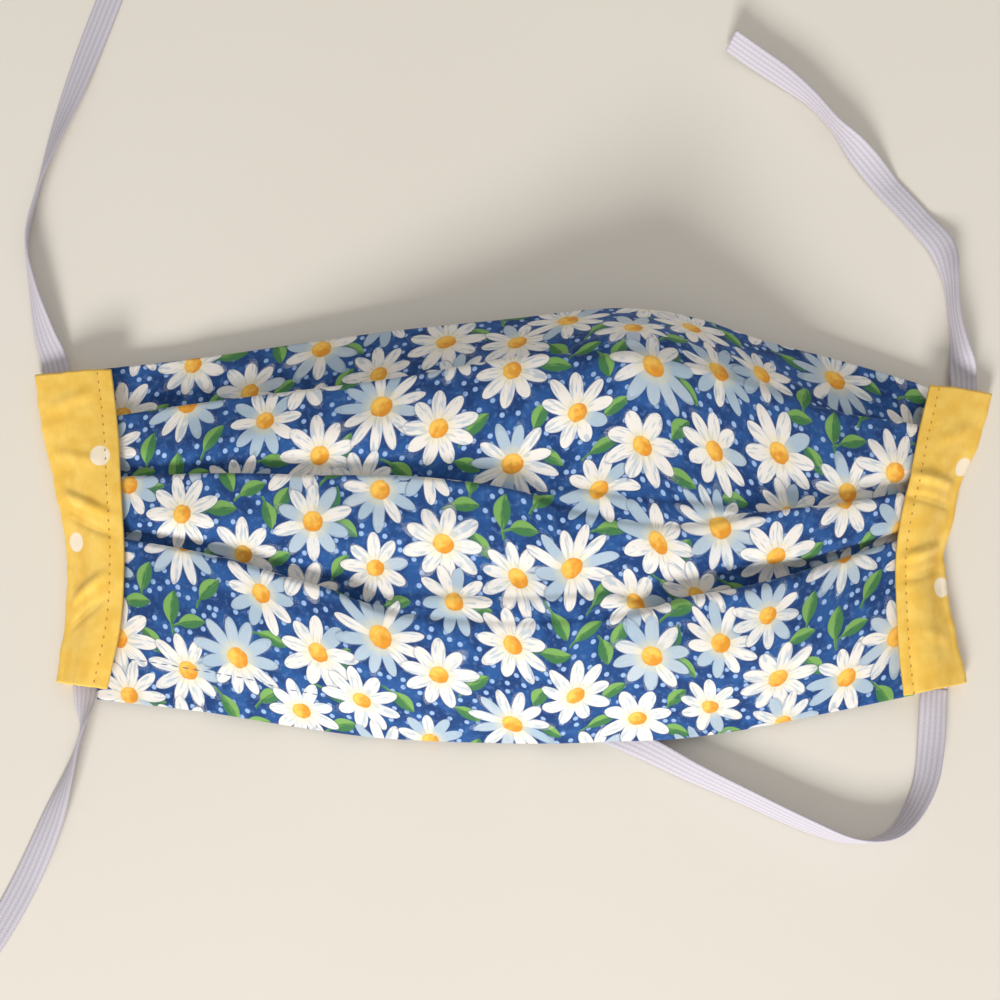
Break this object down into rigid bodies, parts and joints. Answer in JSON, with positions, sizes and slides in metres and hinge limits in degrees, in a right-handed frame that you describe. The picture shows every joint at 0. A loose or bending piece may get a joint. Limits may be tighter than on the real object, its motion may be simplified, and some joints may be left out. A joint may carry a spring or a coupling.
{
  "type": "cloth face mask",
  "caption": "Pleated cloth face mask lying face up, with a fabric casing sewn over each side and loose flat elastic threaded through the casings.",
  "frame": {"origin": "centre of the underside of the mask without its elastics, on the surface that it lies on", "axes": "+X across the mask from the left casing to the right one as seen from the front, +Y up the face towards the nose edge, +Z out of the front of the mask"},
  "size_m": [0.2474, 0.2501, 0.0307],
  "materials": {
    "daisy_cotton": "matt blue cotton with a printed field of white daisies",
    "yellow_cotton": "matt yellow cotton with a few white dots",
    "elastic": "matt braided elastic"
  },
  "bodies": {
    "root": {"mask_body": "daisy_cotton", "casing_left": "yellow_cotton", "casing_right": "yellow_cotton", "elastic_left": "elastic", "elastic_right": "elastic"}
  },
  "joints": []
}
